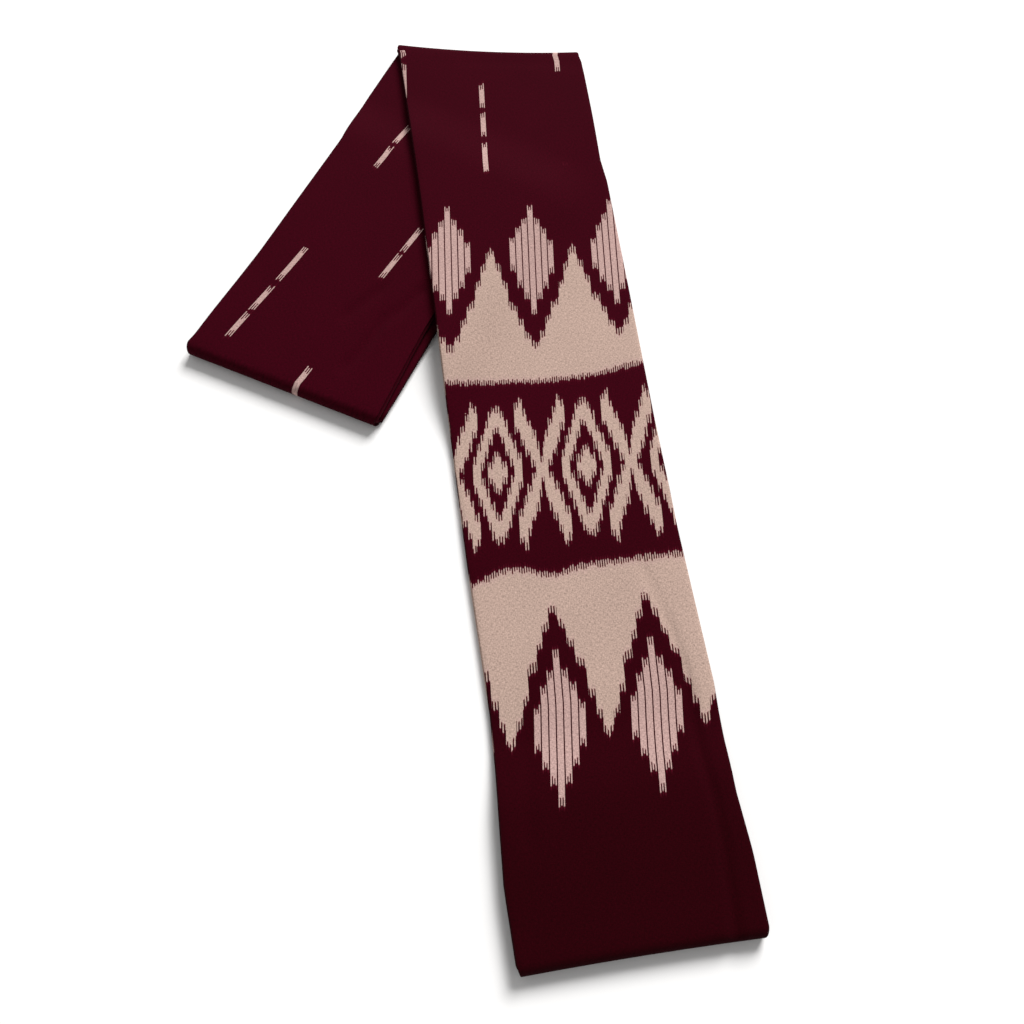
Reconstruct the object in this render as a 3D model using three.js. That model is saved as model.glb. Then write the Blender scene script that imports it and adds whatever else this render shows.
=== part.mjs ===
// A printed batik cloth, folded into a long strip that lies in two arms.
//
// The cloth is folded in half lengthwise and then in three, so the strip has six layers.
// Its cut end lies under the lower end of the front arm. The strip turns back over it, runs
// up the front arm, turns under at the top, comes out down to the left as the back arm,
// turns under again and ends below that arm.
//
// X is right, Y is away from the viewer and Z is up. The origin is under the middle of the
// bounding box, on the surface that the cloth rests on. Lengths are millimetres.
import * as THREE from 'three';

// One layer, the air between layers, and the air between two passes of the strip
const LAYER = 1.0;
const LAYER_GAP = 0.4;
const PASS_GAP = 1.0;
const LEVELS = 6;
const PITCH = LAYER + LAYER_GAP;
const STRIP_THICK = LEVELS * LAYER + (LEVELS - 1) * LAYER_GAP;
const PASS = STRIP_THICK + PASS_GAP;
const FOLD_REACH = STRIP_THICK + PASS_GAP / 2; // how far a turned end reaches past its axis

// The strip's width is a sixth of the cloth's
const CLOTH_WIDTH = 1098;
const HALF_STRIP = CLOTH_WIDTH / 12;
const COLUMNS = [-85, -42, 0, 42, 85]; // places across the strip where each layer can bend

// The turns across the strip, in the order in which the cloth's width runs through them.
// side is -1 for left and 1 for right, and inset is how far a turn lies inside the edge.
const TURNS = [
  { side: -1, from: 2, to: 3, inset: 3.6 },
  { side: 1, from: 3, to: 6, inset: 0 },
  { side: -1, from: 6, to: 5, inset: 0.8 },
  { side: 1, from: 5, to: 4, inset: 3.6 },
  { side: -1, from: 4, to: 1, inset: 0 },
];
const SELVEDGES = { side: 1, firstInset: 3.0, lastInset: 1.4 };

// The two arms: where the middle of the outer end lies, and the way the arm points
const FRONT = { x: 95, y: -12, angle: 97.9 };
const BACK = { x: -205.5, y: 455.5, angle: 62.7 };

// Edges of each arm, measured square to its middle line at a distance from its outer end
const FRONT_EDGES = [
  { along: 0, left: -92.5, right: 94.5 },
  { along: 60, left: -94.2, right: 94.4 },
  { along: 105, left: -91.6, right: 91.4 },
  { along: 145, left: -89.2, right: 91.8 },
  { along: 190, left: -87.8, right: 94.4 },
  { along: 320, left: -90.3, right: 91.6 },
  { along: 430, left: -90.3, right: 91.3 },
  { along: 570, left: -89.6, right: 93.0 },
  { along: 690, left: -89.6, right: 94.0 },
  { along: 715, left: -89.7, right: 91.2 },
  { along: 890, left: -92.0, right: 92.4 },
];
const BACK_EDGES = [
  { along: 0, left: -97.0, right: 95.0 },
  { along: 35, left: -96.0, right: 92.5 },
  { along: 75, left: -94.0, right: 89.5 },
  { along: 110, left: -92.8, right: 87.5 },
  { along: 260, left: -92.8, right: 88.0 },
  { along: 318, left: -100.0, right: 87.0 },
  { along: 395, left: -105.5, right: 86.0 },
];
const RETURN_EDGES = [
  { along: 0, left: -97.0, right: 95.5 },
  { along: 45, left: -94.5, right: 95.2 },
  { along: 110, left: -92.0, right: 93.8 },
  { along: 260, left: -90.5, right: 93.2 },
];

// Ends of the arms. A turned end runs from its left point to its right point, both measured
// along the arm, and its middle lies further in by its bow.
const TOP_TURN = { left: 887.5, right: 852, bow: 4.5 };
const END_TURN = { left: -9.0, right: 5.5, bow: 0 };
const BOTTOM_TURN = { left: -2.0, right: -0.5, bow: 1.2 };
const FRONT_RETURN = 105; // the cut ends of the two passes that lie underneath
const BACK_RETURN = 257;
const CORNER = 0.014; // how much narrower the strip is on the crest of a turned end

// How the strip sinks to the surface past what it lies on: a level ledge, then a slope
const SLOPE = 62;
const LEDGE = 7; // over a cut end
const BRIDGE = 24; // of the front arm where the back arm sinks below it
const PILE_EDGE = 90; // right edge of the back arm, square to its middle line
const PILE_LEDGE = 17; // of the front arm beyond that edge
const TURN_STEPS = 5;

const CLOTH = { color: 0x420a1c, roughness: 0.85, metalness: 0 };

const smooth = (t) => THREE.MathUtils.smoothstep(t, 0, 1);
const level = (number) => LAYER / 2 + (number - 1) * PITCH;

// Points in the middle of the cloth, across the strip: w to the right, h up from its underside
function sectionLine() {
  const first = TURNS[0];
  const points = [{ w: HALF_STRIP - SELVEDGES.firstInset, h: level(first.from) }];
  for (const turn of TURNS) {
    const columns = turn.side > 0 ? COLUMNS : [...COLUMNS].reverse();
    for (const w of columns) points.push({ w, h: level(turn.from) });
    const radius = (Math.abs(turn.to - turn.from) * PITCH) / 2;
    const steps = radius > PITCH ? 4 : 3;
    const middle = { w: HALF_STRIP - turn.inset - LAYER / 2 - radius, h: (level(turn.from) + level(turn.to)) / 2 };
    const rise = Math.sign(turn.to - turn.from);
    for (let step = 0; step <= steps; step += 1) {
      const angle = (Math.PI * step) / steps;
      points.push({
        w: turn.side * (middle.w + radius * Math.sin(angle)),
        h: middle.h - rise * radius * Math.cos(angle),
      });
    }
  }
  const last = TURNS[TURNS.length - 1];
  for (const w of COLUMNS) points.push({ w, h: level(last.to) });
  points.push({ w: HALF_STRIP - SELVEDGES.lastInset, h: level(last.to) });
  return points;
}

// The closed outline of the layered section: one face of the cloth out, the other one back
function sectionOutline() {
  const line = sectionLine();
  const faces = [-1, 1].map((side) => line.map((point, index) => {
    const before = line[Math.max(index - 1, 0)];
    const after = line[Math.min(index + 1, line.length - 1)];
    const run = new THREE.Vector2(after.w - before.w, after.h - before.h).normalize();
    return { w: point.w - (side * run.y * LAYER) / 2, h: point.h + (side * run.x * LAYER) / 2 };
  }));
  return [...faces[0], ...faces[1].reverse()];
}

// A place in an arm's own measure, in the plan
function inArm(arm, along, sideways) {
  const angle = THREE.MathUtils.degToRad(arm.angle);
  const run = new THREE.Vector2(Math.cos(angle), Math.sin(angle));
  return new THREE.Vector2(arm.x, arm.y)
    .addScaledVector(run, along)
    .addScaledVector(new THREE.Vector2(run.y, -run.x), sideways);
}

// The same place the other way round: the plan read in the arm's own measure
function armMeasure(arm, point) {
  const angle = THREE.MathUtils.degToRad(arm.angle);
  const from = new THREE.Vector2(point.x - arm.x, point.y - arm.y);
  const run = new THREE.Vector2(Math.cos(angle), Math.sin(angle));
  return { along: from.dot(run), across: from.x * run.y - from.y * run.x };
}

function edge(rows, along, side) {
  const next = Math.max(1, rows.findIndex((row) => row.along >= along));
  const [a, b] = [rows[next - 1], rows[next]];
  return THREE.MathUtils.mapLinear(along, a.along, b.along, a[side], b[side]);
}

// A line across an arm, given by how far along the arm its left and right ends lie.
// sag is how its middle is moved off the straight line between them.
function across(arm, rows, left, right = left) {
  return {
    left: inArm(arm, left, edge(rows, left, 'left')),
    right: inArm(arm, right, edge(rows, right, 'right')),
    sag: new THREE.Vector2(),
  };
}

// Height of the underside of the back arm, and of the front arm above what it crosses
function backHeight(along, ledge) {
  return PASS * (1 - smooth((along - BACK_RETURN - ledge) / SLOPE));
}

function frontHeight(point) {
  const front = armMeasure(FRONT, point);
  const back = armMeasure(BACK, point);
  const overReturn = PASS * (1 - smooth((front.along - FRONT_RETURN - LEDGE) / SLOPE));
  const pile = PASS + backHeight(back.along, BRIDGE);
  const overPile = pile * (1 - smooth((back.across - PILE_EDGE - PILE_LEDGE) / SLOPE));
  return Math.max(overReturn, overPile);
}

// A station of the strip: its ends in the plan, the height of its underside, and which face is up
const station = (line, height, faceUp) => ({ ...line, height, faceUp });

// The stations around a turned end, from its upper pass to its lower one
function turnedEnd(axis, faceUp) {
  const steps = [];
  for (let step = 1; step < TURN_STEPS; step += 1) {
    steps.push({ ...axis, faceUp, angle: (Math.PI * step) / TURN_STEPS });
  }
  return steps;
}

// The axis of a turned end lies inside its outline. away is 1 at the far end of an arm and -1
// at its near end.
function turnAxis(arm, rows, turn, away) {
  const line = across(arm, rows, turn.left, turn.right);
  const run = line.right.clone().sub(line.left).normalize();
  const outward = new THREE.Vector2(-run.y, run.x).multiplyScalar(away);
  const inset = outward.clone().multiplyScalar(-FOLD_REACH);
  return {
    left: line.left.add(inset),
    right: line.right.add(inset),
    sag: outward.clone().multiplyScalar(-turn.bow),
    outward,
  };
}

function mixLines(a, b, t) {
  const mixed = {};
  for (const key of ['left', 'right', 'sag']) mixed[key] = a[key].clone().lerp(b[key], t);
  return mixed;
}

const range = (from, to, count) => Array.from({ length: count }, (_, i) => from + ((to - from) * i) / (count - 1));

// All stations, from one cut end of the strip to the other
function stripStations() {
  const bottomAxis = turnAxis(FRONT, FRONT_EDGES, BOTTOM_TURN, -1);
  const topAxis = turnAxis(FRONT, FRONT_EDGES, TOP_TURN, 1);
  const endAxis = turnAxis(BACK, BACK_EDGES, END_TURN, -1);

  const underFront = [FRONT_RETURN, 60]
    .map((along) => station(across(FRONT, FRONT_EDGES, along), () => 0, false));
  underFront.push(station(bottomAxis, () => 0, false));

  const frontArm = [
    60, ...range(FRONT_RETURN + LEDGE, FRONT_RETURN + LEDGE + SLOPE, 5), 250, 330, ...range(396, 684, 9),
  ].map((along) => station(across(FRONT, FRONT_EDGES, along), frontHeight, true));
  const lastSquare = across(FRONT, FRONT_EDGES, 700);
  for (const t of [0.16, 0.38, 0.6, 0.8, 1]) {
    frontArm.push(station(mixLines(lastSquare, topAxis, t), frontHeight, true));
  }

  const backUnderside = (point) => backHeight(armMeasure(BACK, point).along, LEDGE);
  const firstSquare = across(BACK, BACK_EDGES, BACK_RETURN + LEDGE + SLOPE);
  const backArm = [0, 0.35, 0.7].map((t) => station(mixLines(topAxis, firstSquare, t), backUnderside, false));
  for (const along of [...range(BACK_RETURN + LEDGE + SLOPE, BACK_RETURN + LEDGE, 5), 215, 110]) {
    backArm.push(station(across(BACK, BACK_EDGES, along), backUnderside, false));
  }
  backArm.push(station(endAxis, backUnderside, false));

  const underBack = [station(endAxis, () => 0, true)];
  for (const along of [110, BACK_RETURN]) {
    underBack.push(station(across(BACK, RETURN_EDGES, along), () => 0, true));
  }

  return [
    ...underFront,
    ...turnedEnd(bottomAxis, true).reverse(),
    station(bottomAxis, frontHeight, true),
    ...frontArm,
    ...turnedEnd(topAxis, true),
    ...backArm,
    ...turnedEnd(endAxis, false),
    ...underBack,
  ];
}

// One corner of the section at one station, in space
function placed(stop, { w, h }) {
  const rise = stop.faceUp ? h : STRIP_THICK - h;
  const place = w / HALF_STRIP;
  const crest = Math.sin(stop.angle ?? 0);
  const share = (1 + place * (1 - CORNER * crest ** 2)) / 2;
  const point = stop.left.clone().lerp(stop.right, share).addScaledVector(stop.sag, 1 - place ** 2);
  if (stop.angle === undefined) return [point.x, point.y, stop.height(point) + rise];
  const radius = PASS_GAP / 2 + rise;
  point.addScaledVector(stop.outward, radius * crest);
  return [point.x, point.y, FOLD_REACH + radius * Math.cos(stop.angle)];
}

// The closed body: the outline at each station, joined to the next one, with both cut ends shut
function foldedCloth() {
  const outline = sectionOutline();
  const stations = stripStations();
  const count = outline.length;
  const positions = stations.flatMap((stop) => outline.flatMap((corner) => placed(stop, corner)));
  const faces = [];
  for (let row = 0; row + 1 < stations.length; row += 1) {
    for (let k = 0; k < count; k += 1) {
      const next = (k + 1) % count;
      const [a, b] = [row * count + k, row * count + next];
      const [c, d] = [a + count, b + count];
      // The same diagonal on every layer keeps the layers parallel where the strip slopes
      const rightward = outline[next].w > outline[k].w;
      faces.push(...(rightward ? [a, d, b, a, c, d] : [a, c, b, b, c, d]));
    }
  }
  const lastRow = (stations.length - 1) * count;
  for (let k = 0; k + 1 < count / 2; k += 1) {
    const [a, b, c, d] = [k, k + 1, count - 2 - k, count - 1 - k];
    faces.push(a, b, c, a, c, d);
    faces.push(...[a, c, b, a, d, c].map((corner) => lastRow + corner));
  }
  const geometry = new THREE.BufferGeometry();
  geometry.setAttribute('position', new THREE.Float32BufferAttribute(positions, 3));
  geometry.setIndex(faces);
  return geometry;
}

// Moves the body so that the origin is under the middle of its bounding box
function centred(geometry) {
  geometry.computeBoundingBox();
  const { min, max } = geometry.boundingBox;
  geometry.translate(-(min.x + max.x) / 2, -(min.y + max.y) / 2, 0);
  geometry.computeVertexNormals();
  return geometry;
}

const cloth = new THREE.Mesh(centred(foldedCloth()), new THREE.MeshStandardMaterial(CLOTH));
cloth.name = 'batik_cloth';

const model = new THREE.Group();
model.add(cloth);
export default model;
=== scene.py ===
# %% [markdown]
# # A folded batik cloth
# A length of printed cotton, 1.1 m wide and 1.74 m long. It is folded lengthwise into a strip of six
# layers, and the strip is then laid on a table in two arms: a long front arm, and a shorter back arm
# that turns under the front arm's far end. Both loose ends are tucked back underneath.
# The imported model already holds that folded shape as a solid. Here the same folds are made again as
# one thin sheet, so that the light finds real edges and the print can follow the cloth.

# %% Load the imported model
import functools
import math
import bmesh
import bpy
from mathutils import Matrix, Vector, noise


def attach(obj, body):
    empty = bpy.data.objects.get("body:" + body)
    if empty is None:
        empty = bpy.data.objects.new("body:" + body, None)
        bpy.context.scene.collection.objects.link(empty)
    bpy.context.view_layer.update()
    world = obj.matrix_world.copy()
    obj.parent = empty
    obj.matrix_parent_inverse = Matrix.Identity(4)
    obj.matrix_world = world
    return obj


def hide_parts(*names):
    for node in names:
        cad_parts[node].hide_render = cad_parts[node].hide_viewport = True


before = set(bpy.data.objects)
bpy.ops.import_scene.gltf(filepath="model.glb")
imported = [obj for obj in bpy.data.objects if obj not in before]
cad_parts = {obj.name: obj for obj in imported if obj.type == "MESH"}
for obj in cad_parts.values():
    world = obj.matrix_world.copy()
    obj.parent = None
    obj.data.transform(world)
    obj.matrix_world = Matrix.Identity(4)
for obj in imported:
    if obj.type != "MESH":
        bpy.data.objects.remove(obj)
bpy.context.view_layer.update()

MM = 0.001

# %% [markdown]
# ## The camera
# The picture was taken from 0.84 m above the table, leaning 22 degrees from straight down. In a square
# picture of 1024 pixels the lens sees 1055.3 pixels to the focal length, which is 37.1 mm on a 36 mm
# sensor.

# %% Camera
PICTURE_SIDE = 1024                      # pixels
FOCAL_LENGTH = 1055.3165                 # pixels
SENSOR_WIDTH = 36                        # mm
CAMERA_PLACE = (53.15, -413.95, 840.0)   # mm
CAMERA_LEAN = 22                         # degrees from straight down

camera_data = bpy.data.cameras.new("camera")
camera_data.sensor_width = SENSOR_WIDTH
camera_data.lens = SENSOR_WIDTH * FOCAL_LENGTH / PICTURE_SIDE
camera = bpy.data.objects.new("camera", camera_data)
camera.location = Vector(CAMERA_PLACE) * MM
camera.rotation_euler = (math.radians(CAMERA_LEAN), 0, 0)
bpy.context.collection.objects.link(camera)
bpy.context.scene.camera = camera
print("The lens is", round(camera_data.lens, 1), "mm long")

# %% [markdown]
# ## The strip's section
# Cut across, the strip is one line of cloth that goes back and forth six times. Cloth turns round
# nothing but itself, so each side turn is a half circle as high as the layers that it wraps. The table
# gives the turns in order, from one selvedge to the other. An inset is how far a turn stays back from
# the strip's edge, because nobody folds every layer flush.

# %% Section of the strip
TOP_LAYER = 6
LAYER_PITCH = 1.4      # mm between the middles of two layers
HALF_LAYER = 0.5       # mm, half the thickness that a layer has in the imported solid
STRIP_THICK = 2 * HALF_LAYER + (TOP_LAYER - 1) * LAYER_PITCH
HALF_STRIP = 91.5      # mm
SELVEDGE_BACK = {"first": 3.0, "last": 1.4}   # mm from the strip's right edge
END_STEP = 0.6         # mm, a narrow last row of faces that keeps a raw edge crisp

SIDE_TURNS = [   # side (-1 left, 1 right), from layer, to layer, inset in mm
    (-1, 2, 3, 3.6),
    (1, 3, 6, 0.0),
    (-1, 6, 5, 0.8),
    (1, 5, 4, 3.6),
    (-1, 4, 1, 0.0),
]
OUTER_STEPS, INNER_STEPS = 46, 12        # steps across a layer that shows, and across a hidden one
WIDE_TURN_STEPS, TIGHT_TURN_STEPS = 7, 4


def layer_middle(layer):
    return HALF_LAYER + (layer - 1) * LAYER_PITCH


def section_line():
    line = []

    def run(start, stop, layer, steps):
        height = layer_middle(layer)
        line.extend((start + (stop - start) * step / steps, height) for step in range(steps))

    selvedge = HALF_STRIP - SELVEDGE_BACK["first"]
    place = selvedge - END_STEP
    run(selvedge, place, SIDE_TURNS[0][1], 1)
    for side, first, last, inset in SIDE_TURNS:
        rise = (last - first) * LAYER_PITCH / 2
        middle = side * (HALF_STRIP - inset - HALF_LAYER - abs(rise))
        run(place, middle, first, OUTER_STEPS if first in (1, TOP_LAYER) else INNER_STEPS)
        steps = TIGHT_TURN_STEPS if abs(last - first) == 1 else WIDE_TURN_STEPS
        for step in range(steps):
            turn = math.pi * step / steps
            line.append((middle + side * abs(rise) * math.sin(turn),
                         (layer_middle(first) + layer_middle(last)) / 2 - rise * math.cos(turn)))
        place = middle
    selvedge = HALF_STRIP - SELVEDGE_BACK["last"]
    run(place, selvedge - END_STEP, 1, OUTER_STEPS)
    run(selvedge - END_STEP, selvedge, 1, 1)
    line.append((selvedge, layer_middle(1)))
    return line


section = section_line()
distance_across = [0.0]
for (w0, h0), (w1, h1) in zip(section, section[1:]):
    distance_across.append(distance_across[-1] + math.hypot(w1 - w0, h1 - h0))
cloth_width = distance_across[-1]
print("The section has", len(section), "points and", round(cloth_width), "mm of cloth")

# %% [markdown]
# ## The two arms on the table
# Each arm has its own ruler: a starting point, a heading, and a table of how far its left and right
# edges stand from that ruler as it goes along. Cloth is never quite straight, so the edges wander by a
# few millimetres.

# %% Arms
FRONT_ARM = {"start": Vector((148.15, -425.95)), "heading": 97.9}
BACK_ARM = {"start": Vector((-152.35, 41.55)), "heading": 62.7}

FRONT_EDGES = [   # along, left edge, right edge, in mm
    (0, -92.5, 94.5), (60, -94.2, 94.4), (105, -91.6, 91.4), (145, -89.2, 91.8), (190, -87.8, 94.4),
    (320, -90.3, 91.6), (430, -90.3, 91.3), (570, -89.6, 93.0), (690, -89.6, 94.0), (715, -89.7, 91.2),
    (890, -92.0, 92.4),
]
BACK_EDGES = [
    (0, -97.0, 95.0), (35, -96.0, 92.5), (75, -94.0, 89.5), (110, -92.8, 87.5), (260, -92.8, 88.0),
    (318, -100.0, 87.0), (395, -105.5, 86.0),
]
BACK_RETURN_EDGES = [
    (0, -97.0, 95.5), (45, -94.5, 95.2), (110, -92.0, 93.8), (260, -90.5, 93.2),
]
FRONT_RETURN = 105.0   # mm along, where the front arm's tucked end stops
BACK_RETURN = 257.0    # mm along, where the back arm's tucked end stops


def axes(arm):
    turn = math.radians(arm["heading"])
    run = Vector((math.cos(turn), math.sin(turn)))
    return run, Vector((run.y, -run.x))


def in_arm(arm, along, sideways):
    run, right = axes(arm)
    return arm["start"] + run * along + right * sideways


def arm_measure(arm, point):
    run, right = axes(arm)
    reach = point - arm["start"]
    return reach.dot(run), reach.dot(right)


def edge(rows, along, side):
    column = {"left": 1, "right": 2}[side]
    for low, high in zip(rows, rows[1:]):
        if along <= high[0] or high is rows[-1]:
            share = (along - low[0]) / (high[0] - low[0])
            return low[column] + (high[column] - low[column]) * share


def line_across(arm, rows, left, right=None):
    right = left if right is None else right
    return {"left": in_arm(arm, left, edge(rows, left, "left")),
            "right": in_arm(arm, right, edge(rows, right, "right")),
            "sag": Vector((0, 0))}


print("The rulers are", FRONT_EDGES[-1][0], "and", BACK_EDGES[-1][0], "mm long")

# %% [markdown]
# ## Heights
# The strip lies on the table, except where it climbs over something: the front arm climbs over its own
# tucked end and over the back arm, and the back arm lies on its tucked end for two thirds of its
# length. Each step is a soft slope, which starts a little past the edge underneath.

# %% Heights along the arms
PASS = 9.0             # mm that one more strip underneath lifts what lies on it
SLOPE = 62.0           # mm from the top of a step to its foot
LEDGE = 7.0            # mm that a strip stays level past an edge underneath
LONG_LEDGE = 24.0      # mm, the same for the front arm over the back arm's own step
BACK_SIDE = 107.0      # mm from the back arm's ruler to where the front arm starts down


def smooth(share):
    share = min(max(share, 0.0), 1.0)
    return share * share * (3 - 2 * share)


def on_table(point):
    return 0.0


def back_height(point, ledge=LEDGE):
    along = arm_measure(BACK_ARM, point)[0]
    return PASS * (1 - smooth((along - BACK_RETURN - ledge) / SLOPE))


def front_height(point):
    along = arm_measure(FRONT_ARM, point)[0]
    back_sideways = arm_measure(BACK_ARM, point)[1]
    over_tuck = PASS * (1 - smooth((along - FRONT_RETURN - LEDGE) / SLOPE))
    over_back = (PASS + back_height(point, LONG_LEDGE)) * (1 - smooth((back_sideways - BACK_SIDE) / SLOPE))
    return max(over_tuck, over_back)


print("At their starts the arms lie", front_height(FRONT_ARM["start"]), "and",
      back_height(BACK_ARM["start"]), "mm above the table")

# %% [markdown]
# ## Turned ends
# Where the strip doubles back, all six layers go round together, the outer ones on a larger circle.
# The axis of that circle is a line on the table plan, a little inside the visible end. It runs from a
# place along the strip's left edge to one along its right edge, and its middle stays back by the bow.

# %% Axes of the turned ends
TURN_GAP = 1.0                               # mm between the two passes of a doubled strip
TURN_REACH = STRIP_THICK + TURN_GAP / 2      # mm, the outermost circle's radius
CORNER_DRAW = 0.014                          # share that a turned end's corners are drawn in


def turn_axis(arm, rows, left, right, bow, away):
    line = line_across(arm, rows, left, right)
    run = (line["right"] - line["left"]).normalized()
    outward = Vector((-run.y, run.x)) * away
    return {"left": line["left"] - outward * TURN_REACH, "right": line["right"] - outward * TURN_REACH,
            "sag": -outward * bow, "outward": outward}


near_turn = turn_axis(FRONT_ARM, FRONT_EDGES, left=-2.0, right=-0.5, bow=1.2, away=-1)
far_turn = turn_axis(FRONT_ARM, FRONT_EDGES, left=887.5, right=852.0, bow=4.5, away=1)
left_turn = turn_axis(BACK_ARM, BACK_EDGES, left=-9.0, right=5.5, bow=0.0, away=-1)
print("A turned end is", 2 * TURN_REACH, "mm high")

# %% [markdown]
# ## Stations along the strip
# The sheet is a grid. Its rows are stations along the strip, from the front arm's tucked end to the
# back arm's tucked end, and every row carries the whole section from selvedge to selvedge. A station
# knows its left and right ends on the plan, which face is up, and what it lies on. It also knows how
# far the creases reach it: not at all where it is tucked under, and less and less as it goes down a
# turned end.

# %% Stations
STEP = 8.0             # mm between stations
TURN_STEPS = 12        # steps round a turned end
CORNER_STEPS = 12      # steps from the far turned end into the back arm
SQUARE_FRONT = 700.0   # mm along the front arm, where the stations start to swing to its far end
SQUARE_BACK = 326.0    # mm along the back arm, where they are square across it again
BOW_FADE = 8           # the near end's bow is gone after an eighth of the way
stations = []


def add_station(line, face_up, height, turn=None, arm=None):
    pressed = float(height is not on_table) if turn is None else max(math.cos(turn), 0.0)
    stations.append({**line, "face_up": face_up, "height": height, "turn": turn, "arm": arm,
                     "pressed": pressed})


def span(arm, rows, start, stop, face_up, height, sag=lambda share: Vector((0, 0))):
    steps = round(abs(sum(stop) - sum(start)) / 2 / STEP)
    for step in range(steps):
        share = step / steps
        line = line_across(arm, rows, start[0] + (stop[0] - start[0]) * share,
                           start[1] + (stop[1] - start[1]) * share)
        add_station({**line, "sag": sag(share)}, face_up, height, arm=arm)


def turned_end(arm, axis, face_up, rising):
    turns = range(1, TURN_STEPS)
    for step in (reversed(turns) if rising else turns):
        add_station(axis, face_up, on_table, math.pi * step / TURN_STEPS, arm)


def ends(arm, axis):
    return arm_measure(arm, axis["left"])[0], arm_measure(arm, axis["right"])[0]


near_end, far_end, left_end = ends(FRONT_ARM, near_turn), ends(FRONT_ARM, far_turn), ends(BACK_ARM, left_turn)
square_front, square_back = (SQUARE_FRONT,) * 2, (SQUARE_BACK,) * 2
before_front_cut, before_back_cut = (FRONT_RETURN - END_STEP,) * 2, (BACK_RETURN - END_STEP,) * 2

# %% The front arm, from its tucked end to the far turned end
add_station(line_across(FRONT_ARM, FRONT_EDGES, FRONT_RETURN), False, on_table, arm=FRONT_ARM)
span(FRONT_ARM, FRONT_EDGES, before_front_cut, near_end, False, on_table,
     lambda share: near_turn["sag"] * share ** 2)
add_station(near_turn, False, on_table, arm=FRONT_ARM)
turned_end(FRONT_ARM, near_turn, True, rising=True)
span(FRONT_ARM, FRONT_EDGES, near_end, square_front, True, front_height,
     lambda share: near_turn["sag"] * max(0.0, 1 - BOW_FADE * share) ** 2)
span(FRONT_ARM, FRONT_EDGES, square_front, far_end, True, front_height,
     lambda share: far_turn["sag"] * share ** 2)
add_station(far_turn, True, front_height, arm=FRONT_ARM)
turned_end(FRONT_ARM, far_turn, True, rising=False)
print("There are", len(stations), "stations along the front arm and round its ends")

# %% The back arm, down to its tucked end
first_back = line_across(BACK_ARM, BACK_EDGES, SQUARE_BACK)
for step in range(CORNER_STEPS):
    share = step / CORNER_STEPS
    add_station({"left": far_turn["left"].lerp(first_back["left"], share),
                 "right": far_turn["right"].lerp(first_back["right"], share),
                 "sag": far_turn["sag"] * (1 - share) ** 2}, False, back_height, arm=BACK_ARM)
span(BACK_ARM, BACK_EDGES, square_back, left_end, False, back_height)
add_station(left_turn, False, back_height, arm=BACK_ARM)
turned_end(BACK_ARM, left_turn, False, rising=False)
add_station(left_turn, True, on_table, arm=BACK_ARM)
span(BACK_ARM, BACK_RETURN_EDGES, left_end, before_back_cut, True, on_table)
add_station(line_across(BACK_ARM, BACK_RETURN_EDGES, before_back_cut[0]), True, on_table, arm=BACK_ARM)
add_station(line_across(BACK_ARM, BACK_RETURN_EDGES, BACK_RETURN), True, on_table, arm=BACK_ARM)
print("There are", len(stations), "stations along the whole strip")

# %% [markdown]
# ## Creases
# The pile remembers how it was folded before. Each crease is a soft trough, placed in its arm's own
# along and sideways millimetres. It presses the whole pile together: the top layer sinks most, the
# bottom layer stays on the table, and the layers inside give way over a wider stretch, so that none
# cuts through another. Shallow waves over the whole pile keep it from looking ironed onto a board.

# %% Creases
CREASES = [   # arm, depth and half width in mm, then places along and sideways
    (FRONT_ARM, 1.0, 7, [(296, 54), (270, 61), (235, 68)]),
    (FRONT_ARM, 2.0, 6, [(248, 66), (205, 72)]),
    (FRONT_ARM, 3.2, 6, [(212, 71.5), (186, 73), (154, 71), (126, 71.5), (100, 74), (64, 73), (32, 71),
                         (4, 69)]),
    (FRONT_ARM, 1.8, 28, [(330, 100), (255, 106), (190, 108)]),
    (FRONT_ARM, 1.2, 10, [(165, -60), (150, -62.5), (128, -65.8), (104, -69.2), (90, -71)]),
    (FRONT_ARM, 1.6, 6, [(852, -30), (847.6, -4), (841.7, 29), (837, 62), (833, 84)]),
    (BACK_ARM, 2.8, 6, [(86, 15), (113, 25), (132, 32)]),
    (BACK_ARM, 3.2, 7, [(40, 42), (59, 46), (82, 48), (101, 48), (114, 57), (132, 61), (144, 63)]),
]
WAVE_LENGTH, WAVE_DEPTH = 70.0, 0.8   # mm
BURIED_SPREAD = 9.0                   # mm, how much wider a trough is on the layers inside the pile
FLAT_FROM, FLAT_FADE = 300.0, 60.0    # mm along the back arm, where the front arm keeps it flat


def off_stretch(point, start, stop):
    reach = stop - start
    share = (point - start).dot(reach) / reach.length_squared
    return (point - start - reach * min(max(share, 0.0), 1.0)).length


def press(arm, point, spread):
    place = Vector(arm_measure(arm, point))
    wave = WAVE_DEPTH * (0.5 + 0.5 * noise.noise(Vector((*(place / WAVE_LENGTH), arm["heading"]))))
    deepest = 0.0
    for crease_arm, deep, half, route in CREASES:
        if crease_arm is arm:
            stops = [Vector(stop) for stop in route]
            off = min(off_stretch(place, *pair) for pair in zip(stops, stops[1:]))
            deepest = max(deepest, deep * (1 - smooth((off - spread) / half)))
    loose = 1 - smooth((place.x - FLAT_FROM) / FLAT_FADE) if arm is BACK_ARM else 1.0
    return (wave + deepest) * loose


print("There are", len(CREASES), "creases, up to", max(crease[1] for crease in CREASES), "mm deep")

# %% [markdown]
# ## Where a point of the sheet lies
# A point of the section lies w mm to the right of the strip's middle and h mm up in the pile. On a level
# stretch it is set above its station's line, and where the strip lies face down the pile is turned over.
# Round a turned end it goes about the axis instead, on a larger circle the farther out it lies.

# %% Laying the section along the strip
bottom_height, top_height = layer_middle(1), layer_middle(TOP_LAYER)


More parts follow.
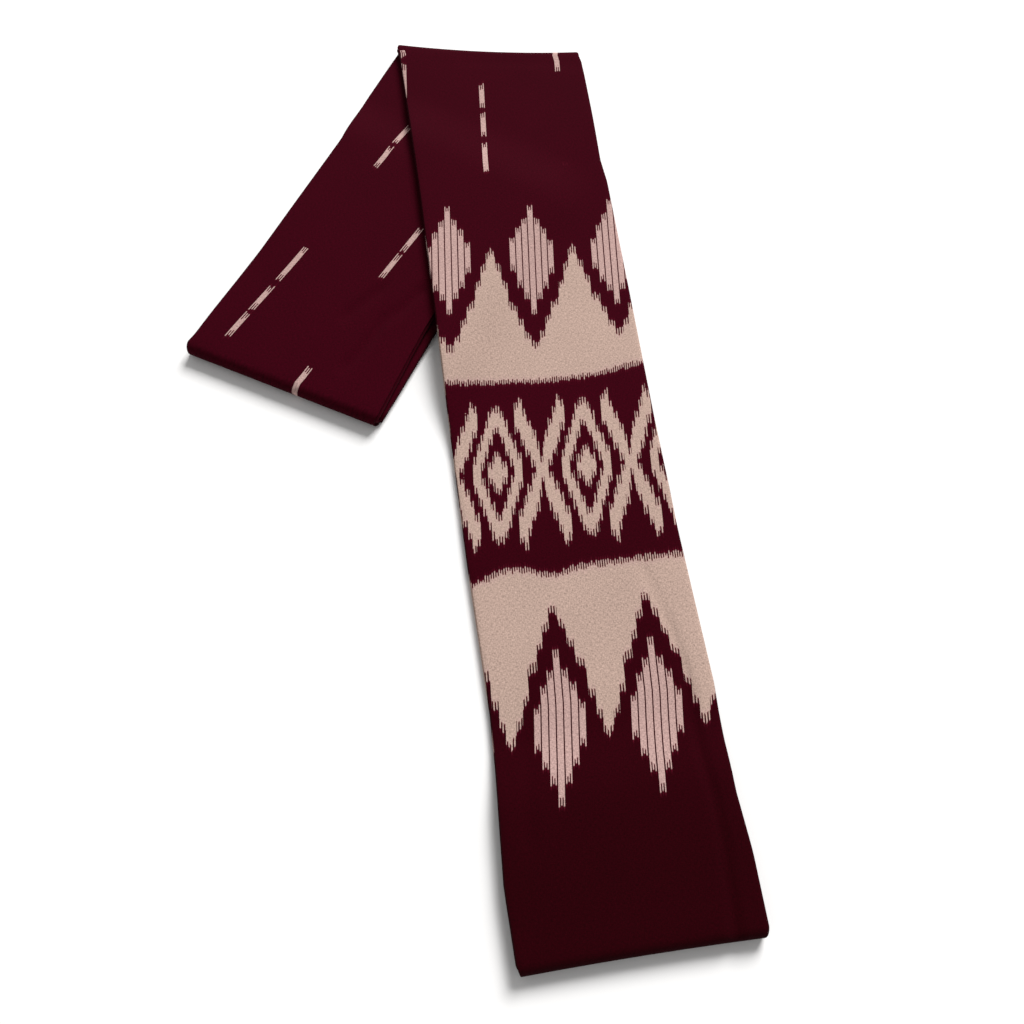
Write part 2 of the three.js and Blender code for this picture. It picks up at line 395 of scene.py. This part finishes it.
def fold_point(station, w, h):
    rise = h if station["face_up"] else STRIP_THICK - h
    place = w / HALF_STRIP
    crest = 0.0 if station["turn"] is None else math.sin(station["turn"])
    share = (1 + place * (1 - CORNER_DRAW * crest ** 2)) / 2
    point = station["left"].lerp(station["right"], share) + station["sag"] * (1 - place ** 2)
    buried = smooth(min(h - bottom_height, top_height - h) / LAYER_PITCH)
    sunk = press(station["arm"], point, BURIED_SPREAD * buried) * rise / STRIP_THICK * station["pressed"]
    if station["turn"] is None:
        return Vector((point.x, point.y, station["height"](point) + rise - sunk)) * MM
    radius = TURN_GAP / 2 + rise
    point = point + station["outward"] * radius * crest
    return Vector((point.x, point.y, TURN_REACH + radius * math.cos(station["turn"]) - sunk)) * MM


# %% [markdown]
# ## Flat cloth coordinates
# The print was made while the cloth lay flat, so the material needs to know where each point of the
# folded sheet lay then. Across, that is the distance along the section's line. Along, it is the length
# of the path that each edge takes through the arms and turned ends, shared out between the edges. Both
# are counted from the place where the printed belt crosses the middle of the top layer.

# %% Distances on the flat cloth
BELT_ALONG = 397.0     # mm along the front arm, where the middle of the printed belt lies

top_points = [i for i, (w, h) in enumerate(section) if abs(h - top_height) < 1e-6]
top_middle = min(top_points, key=lambda i: abs(section[i][0]))
across_origin = distance_across[top_middle] + section[top_middle][0]


def edge_path(w):
    points = [fold_point(station, w, top_height) / MM for station in stations]
    path = [0.0]
    for point, next_point in zip(points, points[1:]):
        path.append(path[-1] + (next_point - point).length)
    tops = [i for i, station in enumerate(stations) if station["height"] is front_height]
    belt = min(tops, key=lambda i: abs(arm_measure(FRONT_ARM, points[i].xy)[0] - BELT_ALONG))
    offset = arm_measure(FRONT_ARM, points[belt].xy)[0] - BELT_ALONG
    return [distance - path[belt] + offset for distance in path]


left_path, right_path = edge_path(-HALF_STRIP), edge_path(HALF_STRIP)
print("The cloth is", round(left_path[-1] - left_path[0]), "mm long at the strip's left edge and",
      round(right_path[-1] - right_path[0]), "mm at its right edge")


def flat_place(column, row):
    share = (section[column][0] / HALF_STRIP + 1) / 2
    along = left_path[row] * (1 - share) + right_path[row] * share
    return (distance_across[column] - across_origin) * MM, along * MM


# %% [markdown]
# ## The sheet
# A grid is the natural start for cloth: its squares are the weave's own directions. Each vertex's place
# in the grid says which column of the section and which station it is, and the fold moves it there.
# A Solidify modifier then gives the sheet its thickness on both sides.

# %% Fold the sheet
CLOTH_THICK = 0.6      # mm, twice that of the real cloth, so that its edges show

across_steps, along_steps = len(section) - 1, len(stations) - 1
sheet = bmesh.new()
bmesh.ops.create_grid(sheet, x_segments=across_steps, y_segments=along_steps, size=1.0)
grid_place = {vert.index: (round((vert.co.x + 1) / 2 * across_steps),
                           round((vert.co.y + 1) / 2 * along_steps)) for vert in sheet.verts}
flat_map = sheet.loops.layers.uv.new("flat cloth")
for face in sheet.faces:
    face.smooth = True
    for loop in face.loops:
        loop[flat_map].uv = flat_place(*grid_place[loop.vert.index])
for vert in sheet.verts:
    column, row = grid_place[vert.index]
    vert.co = fold_point(stations[row], *section[column])
bmesh.ops.recalc_face_normals(sheet, faces=sheet.faces)

cloth_mesh = bpy.data.meshes.new("folded cloth")
sheet.to_mesh(cloth_mesh)
sheet.free()
cloth = bpy.data.objects.new("folded_cloth", cloth_mesh)
bpy.context.collection.objects.link(cloth)
wall = cloth.modifiers.new("thickness", "SOLIDIFY")
wall.thickness = CLOTH_THICK * MM
wall.offset = 0
print("The sheet has", len(cloth_mesh.polygons), "faces")

# %% What the sheet is
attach(cloth, "root")
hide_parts("batik_cloth")


# %% [markdown]
# ## Colours and nodes
# Colours are written as the hex values a picture shows, and one function turns them into the linear
# values that light is reckoned in. One more function adds a node with its settings and its links. An
# input may be another node, one of its sockets, or a plain value.

# %% Helpers for materials
def linear(hex_colour):
    channels = [int(hex_colour[i:i + 2], 16) / 255 for i in (1, 3, 5)]
    return [c / 12.92 if c <= 0.04045 else ((c + 0.055) / 1.055) ** 2.4 for c in channels] + [1.0]


def add_node(tree, kind, inputs=(), **settings):
    node = tree.nodes.new("ShaderNode" + kind)
    for name, value in settings.items():
        setattr(node, name, value)
    for key, value in (inputs.items() if isinstance(inputs, dict) else enumerate(inputs)):
        if isinstance(value, bpy.types.Node):
            value = value.outputs[0]
        if isinstance(value, bpy.types.NodeSocket):
            tree.links.new(value, node.inputs[key])
        else:
            node.inputs[key].default_value = value
    return node


# %% [markdown]
# ## Printed cotton: where the print lies on the cloth
# The motifs repeat every 78.1 mm across the cloth. The strip was folded a little off the grain, so the
# motif lines drift across it as they go along, and toward the far end the rows tilt as well. The far
# half of the cloth was printed in a second run, which tilts the other way.

# %% Print coordinates in mm
REPEAT = 78.1
DRIFT = 0.0956         # mm across for each mm along
FIRST_LINE = 15.1      # mm across, a motif line at the belt
BELT_MIDDLE = -1.8     # mm along
FAR_TILT = 0.085       # mm along for each mm across, past the belt
TILT_GROWS = 300.0     # mm past the belt, over which that tilt grows
SECOND_RUN = 480.0     # mm along, where the second run of the print starts
SECOND_TILT = -0.15

cotton = bpy.data.materials.new("printed plain-weave cotton")
cotton.use_nodes = True
tree = cotton.node_tree
add = functools.partial(add_node, tree)

flat_cloth = add("VectorMath", [add("UVMap", uv_map="flat cloth"), (1 / MM,) * 3], operation="MULTIPLY")
flat_axes = add("SeparateXYZ", [flat_cloth])
across, along = flat_axes.outputs["X"], flat_axes.outputs["Y"]
drifted = add("Math", [along, DRIFT, across], operation="MULTIPLY_ADD")
motif_across = add("Math", [drifted, FIRST_LINE], operation="SUBTRACT")
from_line = add("Math", [motif_across, REPEAT / 2], operation="PINGPONG")
from_between = add("Math", [REPEAT / 2, from_line], operation="SUBTRACT")

second_run = add("Math", [along, SECOND_RUN], operation="GREATER_THAN")
first_tilt = add("MapRange", {"Value": along, "From Min": 0, "From Max": TILT_GROWS,
                              "To Min": 0, "To Max": FAR_TILT})
tilt = add("Math", [second_run, SECOND_TILT - FAR_TILT, first_tilt], operation="MULTIPLY_ADD")
tilted = add("Math", [tilt, across, along], operation="MULTIPLY_ADD")
row_along = add("Math", [tilted, BELT_MIDDLE], operation="SUBTRACT")
past_belt = add("Math", [row_along, 0.0], operation="GREATER_THAN")
print("The print repeats", round(cloth_width / REPEAT), "times across the cloth")

# %% [markdown]
# ## Both sides of the belt
# The print is nearly the same on both sides of its belt, so most of it is charted once, by the distance
# from the belt's middle. On the far side it came out a little shorter than on the near one.

# %% Distance from the belt
FAR_SCALE, NEAR_SCALE = 1.02, 0.98     # mm on a chart for each mm of cloth


def distance_from_belt(rows):
    far_side = add("Math", [rows, FAR_SCALE], operation="MULTIPLY")
    near_side = add("Math", [rows, -NEAR_SCALE], operation="MULTIPLY")
    return add("Math", [far_side, near_side], operation="MAXIMUM")


from_belt = distance_from_belt(row_along)

# %% [markdown]
# ## Fingers
# The design imitates tied and dyed threads: every edge that crosses the length of the cloth breaks up
# into fingers about a millimetre wide, a dark one and a pink one by turns. So the print is drawn as a
# distance: how far a point lies inside the pink along the threads. Each finger then adds or takes a few
# millimetres of its own, which white noise picks for it.

# %% Fingers
FINGER_PAIR, COMB_PAIR = REPEAT / 34, REPEAT / 39    # mm that a dark and a pink finger take together
FINGER_ROW = 31.0                                    # mm, after which the fingers get new lengths


def direction(dark):   # 1 for a pink finger, which reaches out, and -1 for a dark one, which cuts in
    return add("Math", [dark, -2.0, 1.0], operation="MULTIPLY_ADD")


def fingers(pair_width, dark_width, shortest, longest, row):
    pair = add("Math", [add("Math", [motif_across, pair_width], operation="DIVIDE")], operation="FLOOR")
    in_pair = add("Math", [motif_across, pair_width], operation="FLOORED_MODULO")
    dark = add("Math", [in_pair, dark_width], operation="LESS_THAN")
    chance = add("TexWhiteNoise", {"Vector": add("CombineXYZ", [pair, row, dark])})
    length = add("Math", [chance, longest - shortest, shortest], operation="MULTIPLY_ADD")
    return add("Math", [length, direction(dark)], operation="MULTIPLY")


finger_row = add("Math", [add("Math", [row_along, FINGER_ROW], operation="DIVIDE")], operation="FLOOR")
finger_reach = fingers(FINGER_PAIR, dark_width=1.25, shortest=1.4, longest=4.8, row=finger_row)
comb_reach = fingers(COMB_PAIR, dark_width=1.08, shortest=0.4, longest=3.8, row=past_belt)
print("A pair of fingers is", round(FINGER_PAIR, 1), "mm wide, or", round(COMB_PAIR, 1), "mm in a comb")

# %% [markdown]
# ## Charts
# Each motif is half of a mirrored figure and is charted as on squared paper: from the motif's middle
# outward, a column starts at so many millimetres across and reaches so many millimetres along. A Color
# Ramp that doesn't blend between its stops holds such a chart, with the heights as greys.

# %% Stepped charts
CHART_LOW, CHART_RANGE = -100.0, 400.0   # mm, the height that black stands for, and from black to white
NONE = -60.0                             # mm, a column that holds nothing


def chart(distance, columns, blend="CONSTANT"):
    ramp = add("ValToRGB", [add("Math", [distance, REPEAT / 2], operation="DIVIDE")])
    ramp.color_ramp.interpolation = blend
    stops = ramp.color_ramp.elements
    stops.remove(stops[1])
    for start, height in columns:
        stop = stops[0] if start == 0 else stops.new(start * 2 / REPEAT)
        stop.color = ((height - CHART_LOW) / CHART_RANGE,) * 3 + (1.0,)
    return add("Math", [ramp, CHART_RANGE, CHART_LOW], operation="MULTIPLY_ADD")


# %% [markdown]
# ## The pink bands
# A band of pink runs on each side of the belt. Its inner edge is a fine comb that waves by 4 mm or so,
# and on the near side the wave dies out toward the strip's right edge. The band's outer edge climbs in
# steps to a row of peaks. Inside a step the fingertips still follow the slope, so a chart that blends
# is mixed into the stepped one.

# %% Peaks
PEAK_COLUMNS = (0, 4.0, 9.4, 15.1, 23.2, 29.0, 35.1, 39.0)   # mm, where each starts, and the last one's end
STEPPED = 0.78                                               # share of the steps, the rest is the slope


def climbing_edge(tip, heights):
    middles = [(start + stop) / 2 for start, stop in zip(PEAK_COLUMNS, PEAK_COLUMNS[1:])]
    steps = add("Math", [chart(from_between, zip(PEAK_COLUMNS, heights)), STEPPED], operation="MULTIPLY")
    slope = chart(from_between, [(0, tip), *zip(middles, heights)], "LINEAR")
    return add("Math", [slope, 1 - STEPPED, steps], operation="MULTIPLY_ADD")


near_peaks = climbing_edge(240, (226, 212, 195, 170, 154, 138, 124.5))
far_peaks = climbing_edge(236, (221, 206, 188, 167, 152, 136, 126))
peak_edge = add("Mix", {0: past_belt, 2: near_peaks, 3: far_peaks})
to_peaks = add("Math", [peak_edge, from_belt], operation="SUBTRACT")
peaks = add("Math", [to_peaks, finger_reach], operation="ADD")
print("Each peak has", len(PEAK_COLUMNS) - 1, "steps a side")

# %% Combs
NEAR_COMB, FAR_COMB = 91.2, 89.8       # mm from the belt's middle to each comb
NEAR_SWING, FAR_SWING = 4.5, 4.0       # mm that each comb waves to either side
NEAR_CREST, FAR_CREST = -8.0, 61.0     # mm across, where each comb stands farthest out
FAR_WAVE = 194.0                       # mm from crest to crest, and the repeat on the near side
SWING_GROWS = (-32.0, -8.0)            # mm across, where the near comb's wave grows to its full swing


def wave_along(crest, length, swing, middle):
    past_crest = add("Math", [motif_across, crest], operation="SUBTRACT")
    turn = add("Math", [past_crest, 2 * math.pi / length], operation="MULTIPLY")
    return add("Math", [add("Math", [turn], operation="COSINE"), swing, middle], operation="MULTIPLY_ADD")


near_swing = add("MapRange", {"Value": motif_across, "From Min": SWING_GROWS[0],
                              "From Max": SWING_GROWS[1], "To Max": NEAR_SWING})
near_comb = wave_along(NEAR_CREST, REPEAT, near_swing, NEAR_COMB)
far_comb = wave_along(FAR_CREST, FAR_WAVE, FAR_SWING, FAR_COMB)
inner_edge = add("Mix", {0: past_belt, 2: near_comb, 3: far_comb})
past_inner_edge = add("Math", [from_belt, inner_edge], operation="SUBTRACT")
comb = add("Math", [past_inner_edge, comb_reach], operation="ADD")
bands = add("Math", [comb, peaks], operation="MINIMUM")
print("The belt is", NEAR_COMB + FAR_COMB, "mm from comb to comb")

# %% [markdown]
# ## The belt
# In the maroon belt between the bands, diamonds inside rings take turns with crosses. Both are drawn in
# columns about two fingers wide, which gives them their stepped outline. The belt was printed a little
# askew, so it has its own tilt.

# %% Belt of rings and crosses
BELT_TILT = -0.045     # mm along for each mm across
BELT_SHIFT = 1.8       # mm that its figures lie nearer than the middle of the bands

belt_tilted = add("Math", [across, BELT_TILT, row_along], operation="MULTIPLY_ADD")
belt_along = add("Math", [belt_tilted, BELT_SHIFT], operation="ADD")
off_belt = add("Math", [belt_along], operation="ABSOLUTE")


def between(low, high):
    below_high = add("Math", [high, off_belt], operation="SUBTRACT")
    above_low = add("Math", [off_belt, low], operation="SUBTRACT")
    return add("Math", [below_high, above_low], operation="MINIMUM")


ring_outer = chart(from_between, [(0, 62.3), (3.7, 57.3), (7.0, 47.9), (10.3, 35.6), (13.8, 25.9),
                                  (17.4, 13.9), (21.5, NONE)])
ring_inner = chart(from_between, [(0, 41), (3.3, 31), (7.4, 18.5), (11.1, 8), (14.6, NONE)])
core_outer = chart(from_between, [(0, 17), (2.3, 13), (3.9, 7.6), (8.4, NONE)])
cross_outer = chart(from_line, [(0, 10), (1.5, 23.5), (3.6, 34.5), (7.2, 45.2), (11.7, 56.7), (15.2, 69),
                                (18.5, 64), (22.3, NONE)])
cross_inner = chart(from_line, [(0, NONE), (5.3, 5.2), (9.4, 16.2), (13.9, 27.3), (17.5, 39.6)])
ring = between(ring_inner, ring_outer)
core = add("Math", [core_outer, off_belt], operation="SUBTRACT")
cross = between(cross_inner, cross_outer)
ring_and_core = add("Math", [ring, core], operation="MAXIMUM")
figures = add("Math", [ring_and_core, cross], operation="MAXIMUM")
belt = add("Math", [figures, finger_reach], operation="ADD")
print("With its belt the print is drawn with", len(tree.nodes), "nodes")

# %% [markdown]
# ## Striped diamonds
# A diamond of seven stripes hangs in each gap between two peaks. Thin maroon lines part the stripes.
# Where the strip climbs over the back arm the cloth is drawn down, and the diamond in the middle of the
# climb with it.

# %% Where the cloth is drawn down
DRAWN_DOWN = 10.0                                  # mm, at the middle of the climb
CLIMB_ALONG, CLIMB_ACROSS = 265.0, -4.0            # mm on the flat cloth, the middle of the climb
CLIMB_HALF_LENGTH, CLIMB_HALF_WIDTH = 38.0, 45.0   # mm


def falling_off(place, middle, half):
    past_middle = add("Math", [place, middle], operation="SUBTRACT")
    off = add("Math", [past_middle, 1 / half], operation="MULTIPLY")
    off_squared = add("Math", [off, off], operation="MULTIPLY")
    return add("Math", [off_squared, -1.0, 1.0], operation="MULTIPLY_ADD", use_clamp=True)


on_climb = falling_off(along, CLIMB_ALONG, CLIMB_HALF_LENGTH)
in_middle = falling_off(across, CLIMB_ACROSS, CLIMB_HALF_WIDTH)
climb_share = add("Math", [on_climb, in_middle], operation="MULTIPLY")
drawn_down = add("Math", [climb_share, DRAWN_DOWN, along], operation="MULTIPLY_ADD")
diamond_along = add("Math", [drawn_down, BELT_MIDDLE], operation="SUBTRACT")
diamond_from_belt = distance_from_belt(diamond_along)
print("At the climb the print is drawn down by up to", DRAWN_DOWN, "mm")

# %% Striped diamonds
DIAMOND_MIDDLE = 218.2     # mm from the belt's middle
STRIPE = 6.05              # mm from one stripe to the next
HALF_STRIPE = 2.5          # mm, half the width of a stripe or a dash


def in_width(off_middle):
    return add("Math", [HALF_STRIPE, add("Math", [off_middle], operation="ABSOLUTE")], operation="SUBTRACT")


stripe_number = add("Math", [add("Math", [from_line, STRIPE], operation="DIVIDE")], operation="ROUND")
stripe_half = chart(from_line, [(0, 56.5), (3.0, 41), (9.1, 29), (15.1, 14), (21.2, NONE)])
past_diamond = add("Math", [diamond_from_belt, DIAMOND_MIDDLE], operation="SUBTRACT")
off_diamond = add("Math", [past_diamond], operation="ABSOLUTE")
in_stripe = add("Math", [stripe_half, off_diamond], operation="SUBTRACT")
off_stripe = add("Math", [stripe_number, -STRIPE, from_line], operation="MULTIPLY_ADD")
stripe_side = in_width(off_stripe)
print("Between two stripes the maroon line is", round(STRIPE - 2 * HALF_STRIPE, 2), "mm wide")

# %% [markdown]
# ## Dashes
# Past the upper diamonds the ground is maroon, with a dash of three pieces on the lines between the
# motif lines. Neighbouring dashes are half a row apart. The second run starts its rows afresh.

# %% Lines and rows of dashes
DASH_ROW = 224.6                   # mm from one dash to the next on a line
FIRST_DASH = (0.0, 305.6)          # mm across and along, where the first dash starts
SECOND_DASH = (-16.1, 701.0)       # the same for the second run
SECOND_NARROWED = 0.958            # the second run is stretched across, by that much the other way
FIRST_SHORTENED = 0.93             # the first run is stretched along, by that much the other way

dash_scale = add("Math", [second_run, SECOND_NARROWED - 1, 1.0], operation="MULTIPLY_ADD")
dash_shift = add("Math", [second_run, SECOND_DASH[0]], operation="MULTIPLY")
dash_across = add("Math", [motif_across, dash_scale, dash_shift], operation="MULTIPLY_ADD")
dash_line = add("Math", [add("Math", [dash_across, REPEAT], operation="DIVIDE")], operation="FLOOR")
in_line = add("Math", [dash_across, REPEAT], operation="FLOORED_MODULO")
off_dash = add("Math", [in_line, REPEAT / 2], operation="SUBTRACT")
dash_start = add("Math", [second_run, SECOND_DASH[1] - FIRST_DASH[1], FIRST_DASH[1]],
                 operation="MULTIPLY_ADD")
stretch = add("Math", [second_run, 1 - FIRST_SHORTENED, FIRST_SHORTENED], operation="MULTIPLY_ADD")
past_start = add("Math", [row_along, dash_start], operation="SUBTRACT")
dash_along = add("Math", [past_start, stretch], operation="MULTIPLY")
staggered = add("Math", [dash_line, DASH_ROW / 2, dash_along], operation="MULTIPLY_ADD")
in_row = add("Math", [staggered, DASH_ROW], operation="FLOORED_MODULO")
print("A dash comes every", DASH_ROW / 2, "mm, on every other line")

# %% Dashes in three pieces
DASH_PIECES = ((20.5, 17.2), (65.0, 11.2), (99.7, 10.8))   # mm, each one's middle and half its length

pieces = []
for middle, half in DASH_PIECES:
    past_piece = add("Math", [in_row, middle], operation="SUBTRACT")
    off_piece = add("Math", [past_piece], operation="ABSOLUTE")
    pieces.append(add("Math", [half, off_piece], operation="SUBTRACT"))
in_dash = functools.reduce(lambda one, other: add("Math", [one, other], operation="MAXIMUM"), pieces)
dash_side = in_width(off_dash)
print("A dash is", round(sum(DASH_PIECES[-1])), "mm long")

# %% [markdown]
# ## The print put together
# A stripe or a dash is as wide as five fingers, and its fingers are counted from its own middle, so that
# the outer ones stand out like prongs. No dash lies on the fold at the strip's right edge. On the cloth's
# tucked end the dashes are left off, and its plain maroon there is painted shade on the edge that shows
# beside the back arm. The largest distance wins, and a soft step over a millimetre turns it into pink.

# %% Prongs
PRONG_WIDTH = 0.98                     # mm
PRONG_LENGTH, PRONG_GROWTH = 1.0, 0.6  # mm for the middle one, and more for each one outward
PRONG_CHANCE = 3.0                     # mm that noise adds at most
SIDE_CUT = 50.0                        # how many times steeper a side is than an end, which keeps it straight
DASH_NUMBER = 9.0                      # stands for a dash where a stripe has its own number


def prongs(off_middle, number):
    prong = add("Math", [add("Math", [off_middle, PRONG_WIDTH], operation="DIVIDE")], operation="ROUND")
    chance = add("TexWhiteNoise", {"Vector": add("CombineXYZ", [prong, number, finger_row])})
    outward = add("Math", [add("Math", [prong], operation="ABSOLUTE"), PRONG_GROWTH, PRONG_LENGTH],
                  operation="MULTIPLY_ADD")
    length = add("Math", [chance, PRONG_CHANCE, outward], operation="MULTIPLY_ADD")
    dark = add("Math", [prong, 1.0], operation="PINGPONG")
    return add("Math", [length, direction(dark)], operation="MULTIPLY")


def pronged(inside, side, reach):
    cut = add("Math", [side, SIDE_CUT], operation="MULTIPLY")
    return add("Math", [add("Math", [inside, reach], operation="ADD"), cut], operation="MINIMUM")


stripes = pronged(in_stripe, stripe_side, prongs(off_stripe, stripe_number))
dashes = pronged(in_dash, dash_side, prongs(off_dash, DASH_NUMBER))

# %% Share of pink
HALF_SOFT = 0.5                        # mm, half the width of the print's soft edge
FIRST_DASHES = 311.0                   # mm from the belt, where the ground past the diamonds begins
PAINTED_SHADE_FROM = 1030.0                   # mm along, past which the dashes are left off as painted shade
RIGHT_FOLD, FOLD_MARGIN = -94.0, 12.0  # mm across, and how far the dashes keep off it

past_diamonds = add("Math", [row_along, FIRST_DASHES], operation="SUBTRACT")
# Past this place along, the dashes are left off: plain maroon as painted shade on the tucked end
before_painted_shade = add("Math", [PAINTED_SHADE_FROM, along], operation="SUBTRACT")
from_fold = add("Math", [add("Math", [across, RIGHT_FOLD], operation="SUBTRACT")], operation="ABSOLUTE")
off_fold = add("Math", [from_fold, FOLD_MARGIN], operation="SUBTRACT")
for limit in (past_diamonds, off_fold, before_painted_shade):
    dashes = add("Math", [dashes, limit], operation="MINIMUM")

bands_and_belt = add("Math", [bands, belt], operation="MAXIMUM")
inside_pink = bands_and_belt
for motif in (stripes, dashes):
    inside_pink = add("Math", [inside_pink, motif], operation="MAXIMUM")
share_of_pink = add("MapRange", {"Value": inside_pink, "From Min": -HALF_SOFT, "From Max": HALF_SOFT})
print("The whole print is drawn with", len(tree.nodes), "nodes")

# %% [markdown]
# ## Cotton
# Dyed cotton is matt, with a faint sheen from its loose fibres. Its threads are about 0.35 mm apart, too
# fine to show from here, and are drawn a little coarser, 0.4 mm apart. Slubs, the thicker places in a
# thread, run both ways and are what the eye really sees. The dye has crept a little past every edge, so
# pink is rosier near maroon, and maroon is redder near pink.

# %% Dye
DEEP_MAROON, MAROON, RED_EDGE = "#260005", "#33000c", "#4c0a1a"
PINK, ROSE = "#ab9286", "#ac8e88"
ROSE_REACH, RED_REACH = 5.0, 4.0       # mm that the dye has crept into the pink and into the maroon
DEEP_UNTIL, FULL_FROM = -340.0, 60.0   # mm along, between which the ground goes from deep to full maroon

well_inside = add("MapRange", {"Value": bands_and_belt, "From Min": 0.0, "From Max": ROSE_REACH})
pink = add("Mix", {0: well_inside, 6: linear(ROSE), 7: linear(PINK)}, data_type="RGBA").outputs[2]
# The maroon ground is deeper toward the near end and full farther along
deep_to_full_along = add("MapRange", {"Value": along, "From Min": DEEP_UNTIL, "From Max": FULL_FROM})
ground = add("Mix", {0: deep_to_full_along, 6: linear(DEEP_MAROON), 7: linear(MAROON)}, data_type="RGBA").outputs[2]
near_pink = add("MapRange", {"Value": inside_pink, "From Min": -RED_REACH, "From Max": 0.0})
ground = add("Mix", {0: near_pink, 6: ground, 7: linear(RED_EDGE)}, data_type="RGBA").outputs[2]
printed = add("Mix", {0: share_of_pink, 6: ground, 7: pink}, data_type="RGBA").outputs[2]

# %% Slubs and clouds
SLUB_WIDE, SLUB_LONG = 1.5, 0.45            # slubs in each mm, counted across a thread and along it
CLOUD = 0.018                               # clouds in each mm, where the dye took unevenly
SLUB_CONTRAST, CLOUD_CONTRAST = 1.15, 0.16  # how much each changes the colour's strength


def slub_noise(counts):
    stretched = add("VectorMath", [flat_cloth, counts], operation="MULTIPLY")
    return add("TexNoise", {"Vector": stretched, "Scale": 1.0, "Detail": 2.0})


warp_slubs = slub_noise((SLUB_WIDE, SLUB_LONG, 1.0))
weft_slubs = slub_noise((SLUB_LONG, SLUB_WIDE, 1.0))
slubs = add("Math", [warp_slubs, weft_slubs], operation="ADD")
clouds = add("TexNoise", {"Vector": flat_cloth, "Scale": CLOUD, "Detail": 3.0})
slub_shade = add("Math", [slubs, SLUB_CONTRAST, 1 - SLUB_CONTRAST], operation="MULTIPLY_ADD")
cloud_shade = add("Math", [clouds, CLOUD_CONTRAST, -CLOUD_CONTRAST / 2], operation="MULTIPLY_ADD")
uneven = add("Math", [cloud_shade, slub_shade], operation="ADD")
dyed = add("VectorMath", {0: printed, "Scale": uneven}, operation="SCALE")

# %% Weave and finish
THREAD_SPACING = 0.4   # mm
RELIEF = 0.25          # mm, the height that the bump stands for
WEAVE_SHARE = 0.25     # how high the threads stand beside the slubs
BUMP_STRENGTH = 0.35

thread_turns = add("VectorMath", [flat_cloth, (math.pi / THREAD_SPACING,) * 3], operation="MULTIPLY")
thread_axes = add("SeparateXYZ", [thread_turns])
weave = add("Math", [add("Math", [thread_axes.outputs["X"]], operation="SINE"),
                     add("Math", [thread_axes.outputs["Y"]], operation="SINE")], operation="MULTIPLY")
weave_height = add("Math", [weave, WEAVE_SHARE, slubs], operation="MULTIPLY_ADD")
weave_bump = add("Bump", {"Height": weave_height, "Strength": BUMP_STRENGTH, "Distance": RELIEF * MM})

shader = tree.nodes["Principled BSDF"]
tree.links.new(dyed.outputs[0], shader.inputs["Base Color"])
tree.links.new(weave_bump.outputs[0], shader.inputs["Normal"])
shader.inputs["Roughness"].default_value = 0.9
shader.inputs["Specular IOR Level"].default_value = 0.03
shader.inputs["Sheen Weight"].default_value = 0.01
shader.inputs["Sheen Roughness"].default_value = 0.5
cloth_mesh.materials.append(cotton)
print("The finished cotton has", len(tree.nodes), "nodes")

# %% [markdown]
# ## Floor and light
# A pale floor carries the cloth and its shadow. One large soft lamp stands far off on the right and
# high up, so that the climb and the creases turn one side to it, and the room's own even light fills
# the rest. The Standard view keeps the maroon and the pink as deep as they were mixed.

# %% Floor
FLOOR_REACH = 6.0      # m from its middle to each side

floor_mesh = bpy.data.meshes.new("floor")
floor_bm = bmesh.new()
bmesh.ops.create_grid(floor_bm, x_segments=1, y_segments=1, size=FLOOR_REACH)
floor_bm.to_mesh(floor_mesh)
floor_bm.free()
floor = bpy.data.objects.new("floor", floor_mesh)
bpy.context.collection.objects.link(floor)
paint = bpy.data.materials.new("pale floor")
paint.use_nodes = True
paint.node_tree.nodes["Principled BSDF"].inputs["Base Color"].default_value = linear("#ecebea")
paint.node_tree.nodes["Principled BSDF"].inputs["Roughness"].default_value = 0.9
floor_mesh.materials.append(paint)
print("The floor is", 2 * FLOOR_REACH, "m wide")

# %% Light
LAMP_PLACE = Vector((3.15, 6.24, 5.9))   # m
LAMP_SIDE, LAMP_POWER = 4.0, 1280        # m and W
ROOM_LIGHT = 0.4

lamp_data = bpy.data.lights.new("key", "AREA")
lamp_data.shape = "SQUARE"
lamp_data.size = LAMP_SIDE
lamp_data.energy = LAMP_POWER
lamp = bpy.data.objects.new("key", lamp_data)
lamp.location = LAMP_PLACE
lamp.rotation_euler = (-LAMP_PLACE).to_track_quat("-Z", "Y").to_euler()
bpy.context.collection.objects.link(lamp)

world = bpy.data.worlds.new("studio")
world.use_nodes = True
world.node_tree.nodes["Background"].inputs["Color"].default_value = (1, 1, 1, 1)
world.node_tree.nodes["Background"].inputs["Strength"].default_value = ROOM_LIGHT
bpy.context.scene.world = world
bpy.context.scene.view_settings.view_transform = "Standard"
print("The lamp stands", round(LAMP_PLACE.length, 1), "m from the cloth")
